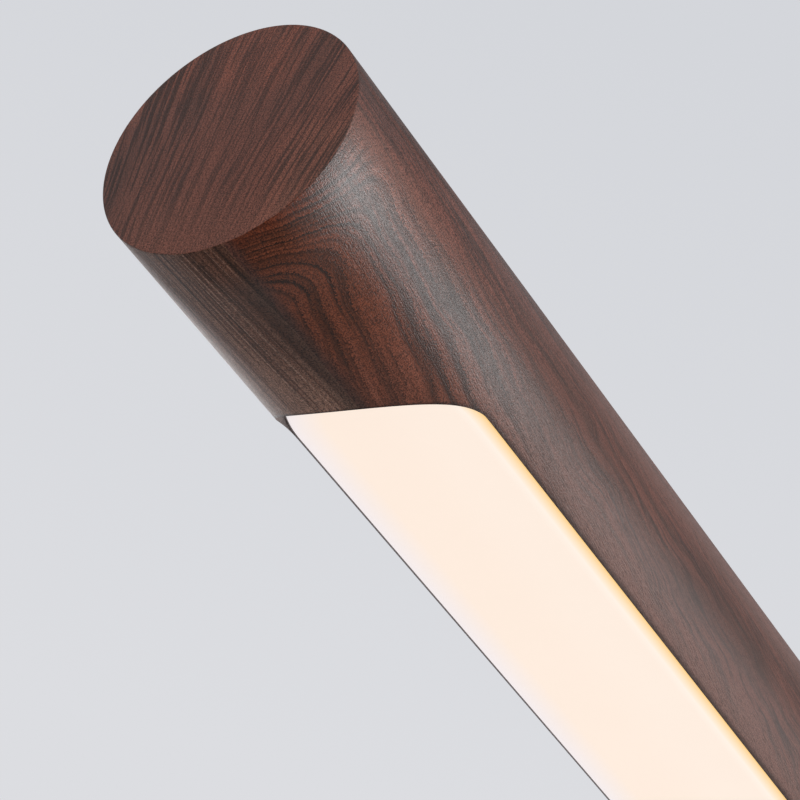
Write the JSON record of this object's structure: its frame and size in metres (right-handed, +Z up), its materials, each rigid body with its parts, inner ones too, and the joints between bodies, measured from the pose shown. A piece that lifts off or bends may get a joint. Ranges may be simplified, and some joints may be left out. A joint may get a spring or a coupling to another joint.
{
  "type": "desk lamp",
  "caption": "Adjustable desk lamp: round wooden light bar with a flat round-ended light window, on hinged wooden arms with tension knobs and a weighted swivel base.",
  "frame": {"origin": "centre of the foot pad's underside, on the desk", "axes": "+Z up; the light bar reaches towards -X with its window facing down; the tension knobs are on -Y"},
  "size_m": [0.6328, 0.2, 0.462],
  "materials": {
    "walnut": "satin lacquer",
    "dark_metal": "dark grey anodised",
    "dark_paint": "powder coat",
    "plate_steel": "matt",
    "iron": "as cast",
    "pad": "matt",
    "steel": "brushed",
    "button_metal": "spun",
    "brass": "plain",
    "nylon": "black",
    "opal": "opal, lit warm white",
    "aluminium": "mill",
    "board_white": "white mask",
    "board_green": "green mask",
    "phosphor": "phosphor",
    "black_plastic": "moulded",
    "lead": "insulation"
  },
  "bodies": {
    "base": {"foot_pad": "pad", "base_plate": "plate_steel", "base_screws": "steel", "base_weight": "iron", "base_cover": "dark_paint", "control_board": "board_green", "button_switch": "black_plastic", "button_bezel": "steel", "dimmer_pot": "black_plastic", "inlet_board": "board_green", "inlet_shell": "steel", "inlet_tongue": "black_plastic", "swivel_spigot": "dark_metal", "spigot_nut": "steel", "thrust_washer": "nylon"},
    "button": {"power_button": "button_metal", "button_plunger": "nylon"},
    "dimmer": {"dimmer_knob": "dark_metal", "dimmer_shaft": "steel"},
    "turret": {"turret": "dark_metal", "turret_set_screw": "steel", "shoulder_bolt": "steel", "shoulder_washers": "brass"},
    "shoulder_knob": {"shoulder_knob": "dark_metal"},
    "lower_arm": {"lower_arm_foot": "dark_metal", "lower_arm_rod": "walnut", "lower_arm_head": "dark_metal", "lower_arm_lead": "lead", "elbow_bolt": "steel", "elbow_washers": "brass"},
    "elbow_knob": {"elbow_knob": "dark_metal"},
    "upper_arm": {"upper_arm_foot": "dark_metal", "upper_arm_rod": "walnut", "upper_arm_head": "dark_metal", "upper_arm_lead": "lead", "wrist_bolt": "steel", "wrist_washers": "brass"},
    "wrist_knob": {"wrist_knob": "dark_metal"},
    "wrist": {"wrist_block": "dark_metal", "roll_washer": "nylon", "roll_set_screw": "steel"},
    "head": {"spindle": "steel", "bar_hub": "dark_metal", "light_bar": "walnut", "light_panel": "opal", "led_channel": "aluminium", "led_board": "board_white", "leds": "phosphor", "bar_lead": "lead"}
  },
  "joints": [
    {"name": "base_swivel", "type": "hinge", "parent": "base", "child": "turret", "pos_m": [0.045, 0, 0.03], "axis": [0, 0, 1], "range_deg": [-170, 170]},
    {"name": "shoulder_tilt", "type": "hinge", "parent": "turret", "child": "lower_arm", "pos_m": [0.045, 0, 0.0721], "axis": [0, 1, 0], "range_deg": [-35, 25]},
    {"name": "elbow_fold", "type": "hinge", "parent": "lower_arm", "child": "upper_arm", "pos_m": [0.13051, 0, 0.30702], "axis": [0, -1, 0], "range_deg": [-70, 35]},
    {"name": "wrist_tilt", "type": "hinge", "parent": "upper_arm", "child": "wrist", "pos_m": [-0.03036, 0, 0.44201], "axis": [0, 1, 0], "range_deg": [-60, 40]},
    {"name": "bar_roll", "type": "hinge", "parent": "wrist", "child": "head", "pos_m": [-0.08036, 0, 0.44201], "axis": [-1, 0, 0], "range_deg": [-90, 90]},
    {"name": "button_press", "type": "slide", "parent": "base", "child": "button", "axis": [0, 0, -1], "range_m": [0, 0.0015], "stiffness_N_per_m": 800, "springref_m": -0.0005},
    {"name": "dimmer_turn", "type": "hinge", "parent": "base", "child": "dimmer", "pos_m": [-0.058, 0.022, 0.025], "axis": [0, 0, 1], "range_deg": [-140, 140]},
    {"name": "shoulder_knob_turn", "type": "hinge", "parent": "turret", "child": "shoulder_knob", "pos_m": [0.045, 0, 0.0721], "axis": [0, -1, 0], "range_deg": [-90, 90]},
    {"name": "elbow_knob_turn", "type": "hinge", "parent": "lower_arm", "child": "elbow_knob", "pos_m": [0.13051, 0, 0.30702], "axis": [0, -1, 0], "range_deg": [-90, 90]},
    {"name": "wrist_knob_turn", "type": "hinge", "parent": "upper_arm", "child": "wrist_knob", "pos_m": [-0.03036, 0, 0.44201], "axis": [0, -1, 0], "range_deg": [-90, 90]}
  ]
}
